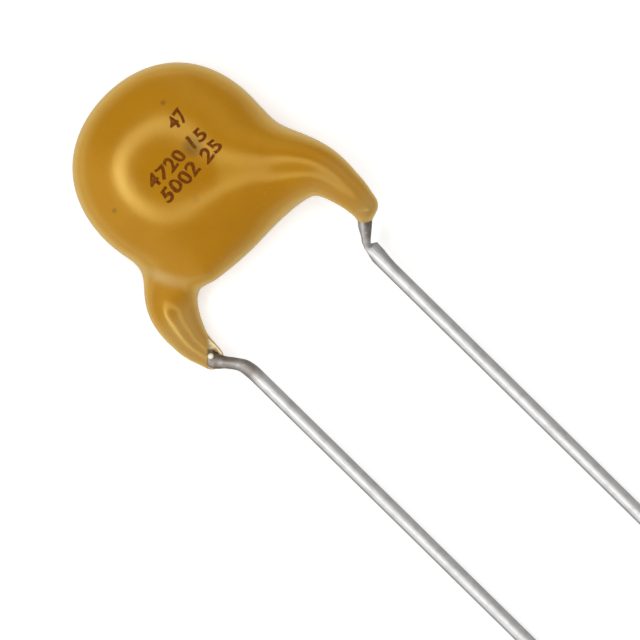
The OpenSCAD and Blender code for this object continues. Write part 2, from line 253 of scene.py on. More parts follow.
def on_curve(joints, u):
    """[x, y, z, radius] at the places u along one smooth curve through the joints."""
    ends = np.vstack([2 * joints[0] - joints[1], joints, 2 * joints[-1] - joints[-2]])
    i = np.clip(u.astype(int), 0, len(joints) - 2)
    a, b, c, d = (ends[i + k] for k in range(4))
    t = (u - i)[:, None]
    return b + t / 2 * (c - a + t * (2 * a - 5 * b + 4 * c - d + t * (3 * (b - c) + d - a)))


def leg_distance(p, joints):
    """Distance to the tapered, flat-topped leg along the smooth curve through its joints."""

    def off(u):
        c = on_curve(joints, u)
        v = np.abs(p - c[:, :3])
        level = np.hypot(v[:, 0], v[:, 1]) ** LEG_POWER
        return (level + (v[:, 2] * LIMB_FLATNESS) ** LEG_POWER) ** (1 / LEG_POWER) - c[:, 3]

    last = len(joints) - 1
    places = np.linspace(0, last, 3 * last + 1)  # a coarse look, then closer from the best one
    tries = np.array([off(np.full(len(p), u)) for u in places])
    u = places[tries.argmin(0)]
    step = 0.2
    for _ in range(3):
        u = np.clip(u, 0, last)
        low, here, high = off(np.clip(u - step, 0, last)), off(u), off(np.clip(u + step, 0, last))
        bend = np.maximum(low + high - 2 * here, 1e-6)
        u = np.clip(u + np.clip((low - high) / (2 * bend), -1, 1) * step, 0, last)
        step *= 0.4
    return off(u)


def web_distance(p):
    a, b = np.array(WEB)
    way = (b - a)[:3] / np.linalg.norm((b - a)[:3])
    v = (p - a[:3]) * (1, 1, LIMB_FLATNESS)
    t = np.clip(v @ way, 0, np.linalg.norm((b - a)[:3]))
    return np.linalg.norm(v - t[:, None] * way, axis=1) - a[3]


def disc_distance(p):
    r2 = np.maximum(p[:, 0] ** 2 + p[:, 1] ** 2, 0.01)
    square = 1 - 8 * (p[:, 0] * p[:, 1]) ** 2 / np.maximum(r2 * r2, 1)
    u = np.sqrt(r2) * (1 + SQUARENESS * square) / COAT_R
    w = p[:, 2] / COAT_H
    v = u**LENS_POWER
    return (v + w * w - 1) / np.hypot(LENS_POWER * v / u / COAT_R, 2 * w / COAT_H)


def skin_distance(p):
    d = smooth_min(disc_distance(p), web_distance(p), WEB_BLEND)
    d = smooth_min(d, leg_distance(p, FRONT_LEG), FRONT_BLEND)
    return smooth_min(d, leg_distance(p, BACK_LEG), BACK_BLEND)


def line_distance(p, a, b):
    """Distance to the line from a to b, and how far along it."""
    a, b = np.array(a), np.array(b)
    way = (b - a) / np.linalg.norm(b - a)
    v = p - a
    along = v @ way
    return np.sqrt(np.maximum((v * v).sum(1) - along * along, 0)), along


def dressed_distance(p):
    """The skin with its open mouth round the back wire and its collar round the front wire."""
    d = skin_distance(p) + SKIN_TUCK
    past_lip = (p[:, :2] - MOUTH_LIP) @ MOUTH_WAY
    near = MOUTH_REACH - np.linalg.norm(p[:, :2] - MOUTH_LIP, axis=1)
    inside = smooth_step(MOUTH_RIM - MOUTH_SOFTEN, MOUTH_RIM + MOUTH_SOFTEN, -d)
    above_floor = p[:, 2] - (MOUTH_FLOOR - MOUTH_DEPTH * inside)
    d = smooth_max(d, np.minimum.reduce([past_lip, above_floor, near]), MOUTH_BLEND)
    off, along = line_distance(p, FRONT_WIRE[KNEE], FRONT_WIRE[KINK])
    collar = off - WIRE_R - COLLAR_T + COLLAR_TAPER * np.maximum(along - COLLAR_L, 0)
    return smooth_min(d, collar, COLLAR_BLEND) * (along > 0) + d * (along <= 0)


def slope_of(distance, p, here, step=0.004):
    """The distance's slope along each axis, from its values a small step away."""
    return np.stack([(distance(p + step * axis) - here) / step for axis in np.eye(3)], 1)


# ---- Lamps and camera ----

RING = (16, 27.5)  # inner and outer angle of the ring of lamps off the camera's line
RING_LEAN = 8.5  # angle that the whole ring leans off the line, toward RING_LEAN_WAY
RING_LEAN_WAY = 167
RING_FLOOR = 0.4  # share of the lamp power all round
RING_STRONG = ((148, 85, 0.75), (50, 60, 0.2))  # [middle angle, half width, added share]
SENSOR = 36  # width of the camera's sensor, in millimetres
HALF_FRAME = 320  # half the side of the square frame, in pixels
DISC_IN_FRAME = (177.7, 167.7)  # the disc's middle from its left and top edges, in pixels
CAMERA_ROLL = -45.48  # turn about the line of sight, in degrees

# ---- Mesh helpers ----


def finish_piece(name, bm, material):
    """Makes a piece's object from a bmesh already in the row frame."""
    mesh = bpy.data.meshes.new(name)
    bm.to_mesh(mesh)
    bm.free()
    piece = bpy.data.objects.new(name, mesh)
    bpy.context.scene.collection.objects.link(piece)
    mesh.materials.append(material)
    mesh.shade_smooth()
    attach(piece, "root")
    return piece


def points_of(mesh):
    co = np.empty(len(mesh.vertices) * 3, np.float32)
    mesh.vertices.foreach_get("co", co)
    return co.reshape(-1, 3).astype(float)


def to_component(points):
    m = np.array(TO_ROW.inverted())
    return points @ m[:3, :3].T + m[:3, 3]


def to_row(points):
    m = np.array(TO_ROW)
    return points @ m[:3, :3].T + m[:3, 3]


def set_points(mesh, points):
    mesh.vertices.foreach_set("co", points.astype(np.float32).ravel())
    mesh.update()


def paint(mesh, name, values):
    """Stores a number for each vertex, for the materials to read."""
    layer = mesh.attributes.new(name, "FLOAT", "POINT")
    layer.data.foreach_set("value", np.asarray(values, np.float32))


def modified_mesh(mesh, *modifiers):
    """A copy of the mesh with (type, settings) modifiers applied."""
    host = bpy.data.objects.new("host", mesh)
    bpy.context.scene.collection.objects.link(host)
    for kind, settings in modifiers:
        modifier = host.modifiers.new(kind, kind)
        for key, value in settings.items():
            setattr(modifier, key, value)
    bpy.context.view_layer.update()
    out = bpy.data.meshes.new_from_object(host.evaluated_get(bpy.context.evaluated_depsgraph_get()))
    bpy.data.objects.remove(host)
    return out


def neighbour_mean(mesh):
    """A function that moves values toward the mean of each vertex's neighbours."""
    edges = np.empty(len(mesh.edges) * 2, np.int32)
    mesh.edges.foreach_get("vertices", edges)
    a, b = edges.reshape(-1, 2).T
    count = np.bincount(np.concatenate([a, b]), minlength=len(mesh.vertices))[:, None]

    def relax(values, share):
        total = np.zeros_like(values)
        np.add.at(total, a, values[b])
        np.add.at(total, b, values[a])
        return values + share * (total / np.maximum(count, 1) - values)

    return relax


# ---- Node helpers ----

# How fine each pattern is, as its features per metre
CLOUDS_PER_METRE = 420.0
FLECKS_PER_METRE = 6500.0
DRAWN_PER_METRE = 9000.0
BLOTCHES_PER_METRE = 1600.0
WEAR_PER_METRE = 5200.0
PORES_PER_METRE = 9000.0
DROP_CLOUDS_PER_METRE = 4200.0


class Nodes:
    """Short ways to lay out one node tree."""

    def __init__(self, tree):
        self.tree = tree
        tree.nodes.clear()

    def add(self, kind, inputs=None, **settings):
        node = self.tree.nodes.new(kind)
        for key, value in settings.items():
            setattr(node, key, value)
        for key, value in (inputs or {}).items():
            if isinstance(value, bpy.types.NodeSocket):
                self.tree.links.new(value, node.inputs[key])
            else:
                node.inputs[key].default_value = value
        return node

    def math(self, operation, a, b):
        return self.add("ShaderNodeMath", {0: a, 1: b}, operation=operation).outputs[0]

    def mix(self, factor, a, b):
        node = self.add("ShaderNodeMix", {"Factor": factor}, data_type="RGBA")
        for socket, value in ((node.inputs[6], a), (node.inputs[7], b)):
            if isinstance(value, bpy.types.NodeSocket):
                self.tree.links.new(value, socket)
            else:
                socket.default_value = value
        return node.outputs[2]

    def span(self, value, low, high, to_low=0.0, to_high=1.0):
        node = self.add(
            "ShaderNodeMapRange",
            {
                "Value": value, "From Min": low, "From Max": high,
                "To Min": to_low, "To Max": to_high,
            },
            interpolation_type="SMOOTHSTEP",
        )
        return node.outputs[0]

    def noise(self, vector, scale, detail=2.0, roughness=0.5):
        return self.add(
            "ShaderNodeTexNoise",
            {"Vector": vector, "Scale": scale, "Detail": detail, "Roughness": roughness},
        ).outputs[0]

    def attribute(self, name):
        return self.add("ShaderNodeAttribute", attribute_name=name).outputs["Fac"]


WHITE = (1, 1, 1, 1)


def rgba(colour):
    return (*colour, 1.0)


def new_material(name):
    material = bpy.data.materials.new(name)
    material.use_nodes = True
    return material, Nodes(material.node_tree)


def close_material(n, shader):
    n.tree.links.new(shader.outputs[0], n.add("ShaderNodeOutputMaterial").inputs[0])


def fleck_group():
    """Fine unevenness shared by the finishes: a mask of small flecks, and a height."""
    if "fine_flecks" in bpy.data.node_groups:
        return bpy.data.node_groups["fine_flecks"]
    group = bpy.data.node_groups.new("fine_flecks", "ShaderNodeTree")
    group.interface.new_socket("Per Metre", in_out="INPUT", socket_type="NodeSocketFloat")
    group.interface.new_socket("Amount", in_out="INPUT", socket_type="NodeSocketFloat")
    group.interface.new_socket("Flecks", in_out="OUTPUT", socket_type="NodeSocketFloat")
    group.interface.new_socket("Height", in_out="OUTPUT", socket_type="NodeSocketFloat")
    n = Nodes(group)
    given = n.add("NodeGroupInput")
    place = n.add("ShaderNodeTexCoord").outputs["Object"]
    grain = n.noise(place, given.outputs["Per Metre"], 3.0, 0.6)
    flecks = n.math("MULTIPLY", n.span(grain, 0.56, 0.72), given.outputs["Amount"])
    swell = n.noise(place, n.math("MULTIPLY", given.outputs["Per Metre"], 0.25), 2.0, 0.5)
    out = n.add("NodeGroupOutput")
    n.tree.links.new(flecks, out.inputs["Flecks"])
    n.tree.links.new(swell, out.inputs["Height"])
    return group


def epoxy_material(look):
    """Glossy amber epoxy, paler and greyer where it thins over the wires."""
    material, n = new_material("amber_epoxy")
    place = n.add("ShaderNodeTexCoord").outputs["Object"]
    fleck = n.add("ShaderNodeGroup", node_tree=fleck_group())
    fleck.inputs["Per Metre"].default_value = FLECKS_PER_METRE
    fleck.inputs["Amount"].default_value = look.fleck_amount
    cloud = n.noise(place, CLOUDS_PER_METRE)
    colour = n.mix(n.span(cloud, 0.35, 0.65), rgba(look.epoxy_deep), rgba(look.epoxy))
    colour = n.mix(fleck.outputs["Flecks"], colour, rgba(look.epoxy_fleck))
    colour = n.mix(n.attribute("thin"), colour, rgba(look.epoxy_thin))
    # Painted reflection: a pale rim where the skin stands upright, in place of the white table's
    # shine at grazing angles
    colour = n.mix(n.attribute("edge"), colour, rgba(look.epoxy_edge))
    # Real stains on the printed face, and painted shade in the back mouth's hollow
    colour = n.mix(n.attribute("stain"), colour, rgba(look.epoxy_stain))
    # Painted highlight: a pale band over the back shoulder's fold, in place of a glint there
    colour = n.mix(n.attribute("pale"), colour, rgba(look.epoxy_pale))
    colour = n.mix(n.attribute("lip"), colour, rgba(look.epoxy_lip))
    bump = n.add(
        "ShaderNodeBump", {"Strength": 0.12, "Distance": 0.00004, "Height": fleck.outputs["Height"]}
    )
    duller = n.math("MULTIPLY", n.attribute("thin"), look.thin_roughness)
    shader = n.add(
        "ShaderNodeBsdfPrincipled",
        {
            "Base Color": colour,
            "Roughness": n.math("ADD", duller, look.epoxy_roughness),
            "IOR": 1.55,
            "Specular IOR Level": 0.7,
            "Specular Tint": (1.0, 0.8, 0.25, 1.0),
            "Sheen Weight": 0.9,
            "Sheen Roughness": 0.35,
            "Sheen Tint": (1.0, 0.85, 0.5, 1.0),
            "Normal": bump.outputs[0],
        },
    )
    close_material(n, shader)
    return material


def tin_material(look):
    """Tinned wire with fine lines drawn along it, tarnished brown where it was formed."""
    material, n = new_material("tinned_wire")
    place = n.add("ShaderNodeTexCoord").outputs["Object"]
    lines = n.add(
        "ShaderNodeMapping", {"Vector": place, "Scale": (1.0, 0.04, 1.0)}, vector_type="POINT"
    ).outputs[0]
    drawn = n.noise(lines, DRAWN_PER_METRE, 3.0, 0.6)
    blotch = n.noise(place, BLOTCHES_PER_METRE, 3.0, 0.55)
    tarnish = n.math("MULTIPLY", n.attribute("formed"), n.span(blotch, 0.25, 0.55, 0.6, 1.0))
    colour = n.mix(n.span(blotch, 0.4, 0.75), rgba(look.tin), rgba(look.tin_dull))
    colour = n.mix(tarnish, colour, rgba(look.tarnish))
    rough = n.span(drawn, 0.3, 0.7, look.tin_roughness, look.tin_roughness + 0.12)
    rough = n.math("ADD", rough, n.math("MULTIPLY", tarnish, 0.15))
    bump = n.add("ShaderNodeBump", {"Strength": 0.08, "Distance": 0.00002, "Height": drawn})
    shader = n.add(
        "ShaderNodeBsdfPrincipled",
        {"Base Color": colour, "Metallic": 1.0, "Roughness": rough, "Normal": bump.outputs[0]},
    )
    close_material(n, shader)
    return material


def ink_material(look):
    """Dark brown ink, thin and broken up at its edges."""
    material, n = new_material("brown_ink")
    place = n.add("ShaderNodeTexCoord").outputs["Object"]
    worn = n.noise(place, WEAR_PER_METRE, 3.0, 0.65)
    colour = n.mix(n.span(worn, 0.35, 0.7), rgba(look.ink), rgba(look.ink_thin))
    shader = n.add(
        "ShaderNodeBsdfPrincipled",
        {
            "Base Color": colour,
            "Roughness": 0.45,
            "Specular IOR Level": 0.2,
            "Specular Tint": (1.0, 0.6, 0.2, 1.0),
            "Alpha": n.span(n.noise(place, PORES_PER_METRE), 0.3, 0.45, 0.4, 1.0),
        },
    )
    close_material(n, shader)
    return material


def drop_material(look):
    """Thin, nearly clear resin with a faint cloud in it, near-white so that the bead serves as a
    painted highlight.
    """
    material, n = new_material("pale_resin")
    place = n.add("ShaderNodeTexCoord").outputs["Object"]
    cloud = n.noise(place, DROP_CLOUDS_PER_METRE)
    colour = n.mix(n.span(cloud, 0.35, 0.65), rgba(look.drop), rgba(look.epoxy_lip))
    shader = n.add(
        "ShaderNodeBsdfPrincipled", {"Base Color": colour, "Roughness": 0.2, "Coat Weight": 0.5}
    )
    close_material(n, shader)
    return material


def inner_material(name, colour, second, per_metre, metallic, roughness):
    """Finish of a piece sealed inside the coating."""
    material, n = new_material(name)
    fleck = n.add("ShaderNodeGroup", node_tree=fleck_group())
    fleck.inputs["Per Metre"].default_value = per_metre
    fleck.inputs["Amount"].default_value = 0.7
    shade = n.mix(fleck.outputs["Flecks"], rgba(colour), rgba(second))
    bump = n.add(
        "ShaderNodeBump", {"Strength": 0.3, "Distance": 0.00003, "Height": fleck.outputs["Height"]}
    )
    shader = n.add(
        "ShaderNodeBsdfPrincipled",
        {
            "Base Color": shade, "Metallic": metallic, "Roughness": roughness,
            "Normal": bump.outputs[0],
        },
    )
    close_material(n, shader)
    return material


# ---- What a user may change ----


def colour_property(name, description, default):
    return FloatVectorProperty(
        name=name, description=description, default=default, size=3, min=0, max=1, subtype="COLOR"
    )


def share_property(name, description, default):
    return FloatProperty(
        name=name, description=description, default=default, min=0, max=1, subtype="FACTOR"
    )


def length_property(name, description, default):
    return FloatProperty(
        name=name, description=description, default=default, min=0,
        unit="LENGTH", subtype="DISTANCE",
    )


class FinishSettings(bpy.types.PropertyGroup):
    """Colours and gloss of the finishes"""

    epoxy: colour_property("Epoxy", "Amber of the coating", (0.452, 0.192, 0.002))
    epoxy_deep: colour_property(
        "Deep epoxy", "Amber in the coating's darker clouds", (0.428, 0.177, 0.0018)
    )
    epoxy_fleck: colour_property("Flecks", "Fine flecks in the epoxy", (0.50, 0.215, 0.008))
    epoxy_thin: colour_property(
        "Thin epoxy", "Epoxy where it thins over a wire", (0.42, 0.24, 0.065)
    )
    # Painted reflection: this pale rim colour stands in for the white table's shine at grazing
    # angles
    epoxy_edge: colour_property(
        "Edge epoxy", "Epoxy where it runs thin round an edge", (0.8, 0.5, 0.1)
    )
    # Also the colour of the painted shade in the back mouth's hollow
    epoxy_stain: colour_property("Stains", "Smudges on the printed face", (0.1, 0.045, 0.012))
    # Painted highlight on the fold by the back shoulder
    epoxy_pale: colour_property(
        "Pale epoxy", "Epoxy in the pale fold by the back shoulder", (0.62, 0.42, 0.17)
    )
    epoxy_lip: colour_property("Lip", "Thin epoxy on the lips of the back mouth", (0.86, 0.76, 0.5))
    # The near-white drop is a painted highlight
    drop: colour_property("Resin drop", "Nearly clear drop in the back mouth", (0.93, 0.92, 0.86))
    fleck_amount: share_property("Fleck amount", "Strength of the flecks", 0.5)
    epoxy_roughness: share_property("Epoxy roughness", "How dull the coating is", 0.2)
    thin_roughness: share_property("Thin roughness", "How much duller thin epoxy is", 0.07)
    tin_roughness: share_property("Tin roughness", "How dull the wires' brightest lines are", 0.3)
    tin: colour_property("Tin", "Bright tin on the wires", (0.585, 0.58, 0.57))
    tin_dull: colour_property("Dull tin", "Duller patches of the tin", (0.49, 0.485, 0.475))
    tarnish: colour_property("Tarnish", "Tarnish where the wires were formed", (0.19, 0.155, 0.125))
    ink: colour_property("Ink", "Printed figures", (0.125, 0.022, 0.002))
    ink_thin: colour_property(
        "Thin ink", "Printed figures where the ink is thin", (0.2, 0.055, 0.003)
    )


class PrintSettings(bpy.types.PropertyGroup):
    """The printed figures"""

    top: StringProperty(
        name="Top mark", description="Figures above the two lines", default="47"
    )
    upper: StringProperty(
        name="Upper line", description="Figures on the upper line", default="4720 15"
    )
    lower: StringProperty(
        name="Lower line", description="Figures on the lower line", default="5002 25"
    )
    height: length_property("Height", "Height of the figures", 0.00084)


class StageSettings(bpy.types.PropertyGroup):
    """Lamps, table and camera"""

    lamp_distance: length_property("Lamp distance", "Height of the ring of lamps", 0.3)
    lamp_count: IntProperty(name="Lamps", description="Lamps in the whole ring", default=24, min=3)
    lamp_power: FloatProperty(
        name="Lamp power", description="Power of each lamp", default=0.043,
        unit="POWER", subtype="POWER",
    )
    sky_level: FloatProperty(
        name="Sky level", description="Soft light from all round", default=0.45, min=0,
        subtype="FACTOR",
    )
    camera_distance: length_property("Camera distance", "Height of the camera", 0.4)
    view_width: length_property("View width", "Width of table in view", 0.0357)


# ---- The pieces ----


class CAPACITOR_OT_coating(bpy.types.Operator):
    """Cast the epoxy skin over the disc and both legs"""

    bl_idname = "capacitor.coating"
    bl_label = "Epoxy coating"

    merge = 0.0005  # closest that two corners of the solid's mesh may lie
    sharp = math.radians(60)  # edges sharper than this part the outside from the hollow
    voxel = 0.085
    rounds = (skin_distance,) * 2 + (dressed_distance,) * 3
    longest_pull = 0.3
    least_slope = 0.05

    # A pair is where a tint is nil and where it is full. Down is the distance below the disc's
    # middle, and upright is 1 on a level face and 0 on a standing one.
    leg_down, tip_down = (4.8, 6.4), (7.8, 9.5)
    back_leg_share, front_leg_share = 0.75, 0.35  # of the thinning, and the tip has the rest
    # The pale rim is painted: a band where the skin stands upright, standing in for the table's
    # reflection at grazing angles.
    edge_tint, edge_upright = 0.75, (0.85, 0.45)
    edge_fade, edge_fade_upright = 0.5, (0.35, 0.1)
    # The fold's pale band is a painted highlight.
    fold_line = ((-5.2, -3.4, 0.6), (-4.1, -5.2, 0.6))
    fold_tint, fold_off, fold_along, fold_foot = 0.6, (0.7, 0.05), (2.6, 0.2), -0.4
    lip_past, lip_inset = (-0.02, 0.04), (0.05, 0.08)
    lip_rim, lip_height = (MOUTH_RIM + 0.02, MOUTH_RIM - 0.03), MOUTH_FLOOR + 0.1
    # Painted shade: the hollow below the mouth's rim is tinted dark
    hollow_tint, hollow_inset = 0.8, (0.1, 0.2)

    def open_skin(self):
        """The solid's outer faces alone, without its sealed hollow and bores: all the faces
        reached from the outermost one without crossing a sharp edge."""
        bm = bmesh.new()
        bm.from_mesh(frame["nodes"]["epoxy_coating"].data)
        bmesh.ops.remove_doubles(bm, verts=bm.verts, dist=self.merge * MM)
        bmesh.ops.recalc_face_normals(bm, faces=bm.faces)
        outside = {max(bm.faces, key=lambda f: f.calc_center_median().x)}
        fresh = list(outside)
        while fresh:
            for edge in fresh.pop().edges:
                if len(edge.link_faces) == 2 and edge.calc_face_angle() < self.sharp:
                    new = set(edge.link_faces) - outside
                    outside |= new
                    fresh += new
        inside = [f for f in bm.faces if f not in outside]
        bmesh.ops.delete(bm, geom=inside, context="FACES")
        rim = [e for e in bm.edges if e.is_boundary]
        bmesh.ops.holes_fill(bm, edges=rim, sides=0)
        bmesh.ops.triangulate(bm, faces=bm.faces)
        return bm

    def lip_cutter(self):
        """The slab that bares the wire in front of the mouth."""
        way = Vector((*MOUTH_WAY, 0)).normalized()
        middle = Vector((*MOUTH_LIP, MOUTH_FLOOR + 1)) + way * MOUTH_REACH / 2
        turn = Matrix.Rotation(math.atan2(way.y, way.x), 4, "Z")
        size = Matrix.Diagonal((MOUTH_REACH, 2 * MOUTH_REACH, 2, 1))
        bm = bmesh.new()
        bmesh.ops.create_cube(bm, matrix=TO_ROW @ Matrix.Translation(middle) @ turn @ size)
        return bm

    def rough_skin(self, context):
        """The outer faces less the slab, as an even mesh of small faces."""
        meshes = []
        for bm in (self.open_skin(), self.lip_cutter()):
            meshes.append(bpy.data.meshes.new("rough_skin"))
            bm.to_mesh(meshes[-1])
            bm.free()
        cutter = bpy.data.objects.new("cutter", meshes[1])
        context.scene.collection.objects.link(cutter)
        mesh = modified_mesh(
            meshes[0],
            ("BOOLEAN", {"object": cutter, "operation": "DIFFERENCE"}),
            ("REMESH", {"mode": "VOXEL", "voxel_size": self.voxel * MM}),
        )
        bpy.data.objects.remove(cutter)
        return mesh

    def pulled(self, mesh):
        """The mesh's points in the component frame, drawn onto the skin."""
        relax = neighbour_mean(mesh)
        points = to_component(points_of(mesh))
        for target in self.rounds:
            points = relax(points, 0.5)
            for _ in range(2):
                here = target(points)
                slope = slope_of(target, points, here)
                steep = np.maximum((slope * slope).sum(1), self.least_slope)
                pull = np.clip(here / steep, -self.longest_pull, self.longest_pull)
                points = points - pull[:, None] * slope
        return points

    def thinning(self, points):
        """Where the epoxy thins over the wires: along each leg, and fully at its tip."""
        down = -points[:, 1]
        share = np.where(points[:, 0] < 0, self.back_leg_share, self.front_leg_share)
        along_leg = smooth_step(*self.leg_down, down)
        return share * along_leg + (1 - share) * smooth_step(*self.tip_down, down)

    def edging(self, points):
        """A painted reflection: the pale band round the outline, in place of the white table's
        shine at grazing angles, fainter on the faces that stand upright.
        """
        slope = slope_of(dressed_distance, points, dressed_distance(points))
        upright = np.abs(slope[:, 2]) / np.linalg.norm(slope, axis=1)
        fade = 1 - self.edge_fade * smooth_step(*self.edge_fade_upright, upright)
        return self.edge_tint * smooth_step(*self.edge_upright, upright) * fade

    def fold(self, points):
        """A painted highlight: the pale band over the fold by the back shoulder."""
        off, along = line_distance(points, *self.fold_line)
        band = smooth_step(*self.fold_off, off) * smooth_step(*self.fold_along, along)
        return self.fold_tint * band * (points[:, 2] > self.fold_foot)

    def mouth_tints(self, points):
        """The pale lip on the mouth's rim, and painted shade in its hollow."""
        inset = -skin_distance(points)
        past_lip = (points[:, :2] - MOUTH_LIP) @ MOUTH_WAY
        low = (points[:, 0] < 0) * (points[:, 2] < self.lip_height)
        mouth = smooth_step(*self.lip_past, past_lip) * low
        rim = smooth_step(*self.lip_inset, inset) * smooth_step(*self.lip_rim, inset)
        hollow = (1 - rim) * smooth_step(*self.hollow_inset, inset)
        return mouth * rim, self.hollow_tint * mouth * hollow

    def stains(self, points):
        stain = np.zeros(len(points))
        for x, y, radius, strength in STAINS:
            off = np.hypot(points[:, 0] - x, points[:, 1] - y)
            stain = np.maximum(stain, strength * smooth_step(radius, radius / 3, off))
        return stain * (points[:, 2] > 0)

    def execute(self, context):
        mesh = self.rough_skin(context)
        points = self.pulled(mesh)
        set_points(mesh, to_row(points))
        lip, hollow = self.mouth_tints(points)
        paint(mesh, "thin", self.thinning(points))
        # Painted reflection round the outline
        paint(mesh, "edge", self.edging(points))
        # Painted highlight on the back shoulder's fold
        paint(mesh, "pale", self.fold(points))
        paint(mesh, "lip", lip)
        # The stain layer carries real stains and the painted shade of the mouth's hollow
        paint(mesh, "stain", np.maximum(self.stains(points), hollow))
        bm = bmesh.new()
        bm.from_mesh(mesh)
        bmesh.ops.recalc_face_normals(bm, faces=bm.faces)
        piece = finish_piece("epoxy_skin", bm, epoxy_material(context.scene.capacitor_finish))
        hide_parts("epoxy_coating")
        return {"FINISHED"}


def bent_wire(corners, radii):
    """A round wire through its corners, as a bmesh in the component frame. The layer "formed"
    marks the bare bends above the straight lead."""
    bm = bmesh.new()
    formed = bm.verts.layers.float.new("formed")
    c = [Vector(p) for p in corners]
    ways = [(b - a).normalized() for a, b in zip(c, c[1:])]
    turns = [0] + [a.angle(b) for a, b in zip(ways, ways[1:])] + [0]
    cuts = [r * math.tan(t / 2) for r, t in zip(radii, turns)]
    start = Matrix.Translation(c[0]) @ ways[0].to_track_quat("Z", "Y").to_matrix().to_4x4()
    ring = bmesh.ops.create_circle(bm, segments=WIRE_SIDES, radius=WIRE_R, matrix=start)["verts"]
    edges = list({e for v in ring for e in v.link_edges})
    bmesh.ops.contextual_create(bm, geom=edges)
    for i, way in enumerate(ways):
        run = (c[i + 1] - c[i]).length - cuts[i] - cuts[i + 1]
        steps = max(1, round(run / (KINK_STEP if i == KNEE else WIRE_STEP)))
        for _ in range(steps):
            new = bmesh.ops.extrude_edge_only(bm, edges=edges)["geom"]
            verts = [g for g in new if isinstance(g, bmesh.types.BMVert)]
            edges = [
                g for g in new
                if isinstance(g, bmesh.types.BMEdge) and all(v in verts for v in g.verts)
            ]
            bmesh.ops.translate(bm, verts=verts, vec=way * run / steps)
        if i + 1 < len(ways):
            axis = way.cross(ways[i + 1]).normalized()
            centre = c[i + 1] - cuts[i + 1] * way + radii[i + 1] * axis.cross(way)
            out = bmesh.ops.spin(
                bm, geom=edges, cent=centre, axis=axis, angle=turns[i + 1], steps=BEND_STEPS,
                use_merge=False,
            )["geom_last"]
            edges = [g for g in out if isinstance(g, bmesh.types.BMEdge)]
    cap = bmesh.ops.contextual_create(bm, geom=edges)["faces"]
    bmesh.ops.bevel(
        bm, geom=list(cap[0].edges), offset=CUT_BEVEL, offset_type="OFFSET", segments=3,
        profile=0.5, affect="EDGES", material=-1,
    )
    for v in bm.verts:
        v[formed] = ramp(*FORMED_Y, v.co.y)
    bmesh.ops.recalc_face_normals(bm, faces=bm.faces)
    return bm


def press_front(bm):
    """Presses in the inner side of the front wire's kink, up to a step where the straight
    starts, and squeezes its outer side. Only the inner side keeps its tarnish."""
    formed = bm.verts.layers.float["formed"]
    knee, kink = Vector(FRONT_WIRE[KNEE]), Vector(FRONT_WIRE[KINK])
    way = (kink - knee).normalized()
    inner = way.cross(Vector((0, 0, 1))).normalized() * -1
    lean = (kink.x - knee.x) / (kink.y - knee.y)
    for v in bm.verts:
        from_knee = v.co - knee
        along = from_knee.dot(way)
        if v.co.y > PRESS_STEP_Y and along > PRESS_RUN[0]:
            proud = from_knee.dot(inner) - (WIRE_R - PRESS_DEPTH * ramp(*PRESS_RUN, along))
            if proud > 0:
                v.co -= inner * proud
        y = v.co.y
        rise = max(y - kink.y, 0)
        half = WIRE_R * (1 + SQUEEZE_SPARE * ramp(*SQUEEZE_SPARE_RISE, rise))
        share = ramp(*SQUEEZE_Y[0], y) * ramp(*SQUEEZE_Y[1], y)
        proud = kink.x + lean * rise - v.co.x - half + SQUEEZE * share
        if proud > 0 and share > 0:
            v.co.x += proud
        side = from_knee.dot(inner) if y > kink.y else v.co.x - kink.x
        if y < PRESS_STEP_Y and side > 0:
            v.co.x += side / WIRE_R * BULGE * ramp(*BULGE_Y, y)
        fade = LOW_TARNISH + (1 - LOW_TARNISH) * ramp(*LOW_TARNISH_Y, y)
        v[formed] *= fade * (OUTER_TARNISH + (1 - OUTER_TARNISH) * ramp(*INNER_SIDE, side))
        streak = STREAK * ramp(*STREAK_SIDE, side) * ramp(*STREAK_Y, y)
        v[formed] = max(v[formed], streak)


def press_back(bm):
    """Presses the back wire a little flatter from side to side between its knee and kink, and
    thins the tarnish there."""
    formed = bm.verts.layers.float["formed"]
    knee, kink = Vector(BACK_WIRE[KNEE]), Vector(BACK_WIRE[KINK])
    way = (kink - knee).normalized()
    aside = way.cross(Vector((0, 0, 1))).normalized()
    for v in bm.verts:
        from_knee = v.co - knee
        along = from_knee.dot(way)
        share = ramp(*BACK_PRESS_RUN[0], along) * ramp(*BACK_PRESS_RUN[1], along)
        v.co -= aside * from_knee.dot(aside) * share * (1 - BACK_PRESS)
        v[formed] *= BACK_TARNISH + BACK_TARNISH_MORE * ramp(*BACK_TARNISH_RUN, along)


class CAPACITOR_OT_wires(bpy.types.Operator):
    """Draw and form the two tinned wires"""

    bl_idname = "capacitor.wires"
    bl_label = "Tinned wires"

    def execute(self, context):
        tin = tin_material(context.scene.capacitor_finish)
        for name, node, corners, radii, press in (
            ("front_wire", "front_lead", FRONT_WIRE, FRONT_RADII, press_front),
            ("back_wire", "back_lead", BACK_WIRE, BACK_RADII, press_back),
        ):
            bm = bent_wire(corners, radii)
            press(bm)
            bm.transform(TO_ROW)
            piece = finish_piece(name, bm, tin)
            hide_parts(node)
        return {"FINISHED"}


class CAPACITOR_OT_drop(bpy.types.Operator):
    """Leave a pale drop of resin on the back wire, in the coating's mouth, as a painted highlight
    in place of the glint on the wire's bend
    """

    bl_idname = "capacitor.drop"
    bl_label = "Resin drop"

    def execute(self, context):
        bm = bmesh.new()
        place = Matrix.Translation(DROP)
        bmesh.ops.create_icosphere(bm, subdivisions=4, radius=DROP_R, matrix=place)
        bm.transform(TO_ROW)
        look = context.scene.capacitor_finish
        piece = finish_piece("resin_drop", bm, drop_material(look))
        return {"FINISHED"}


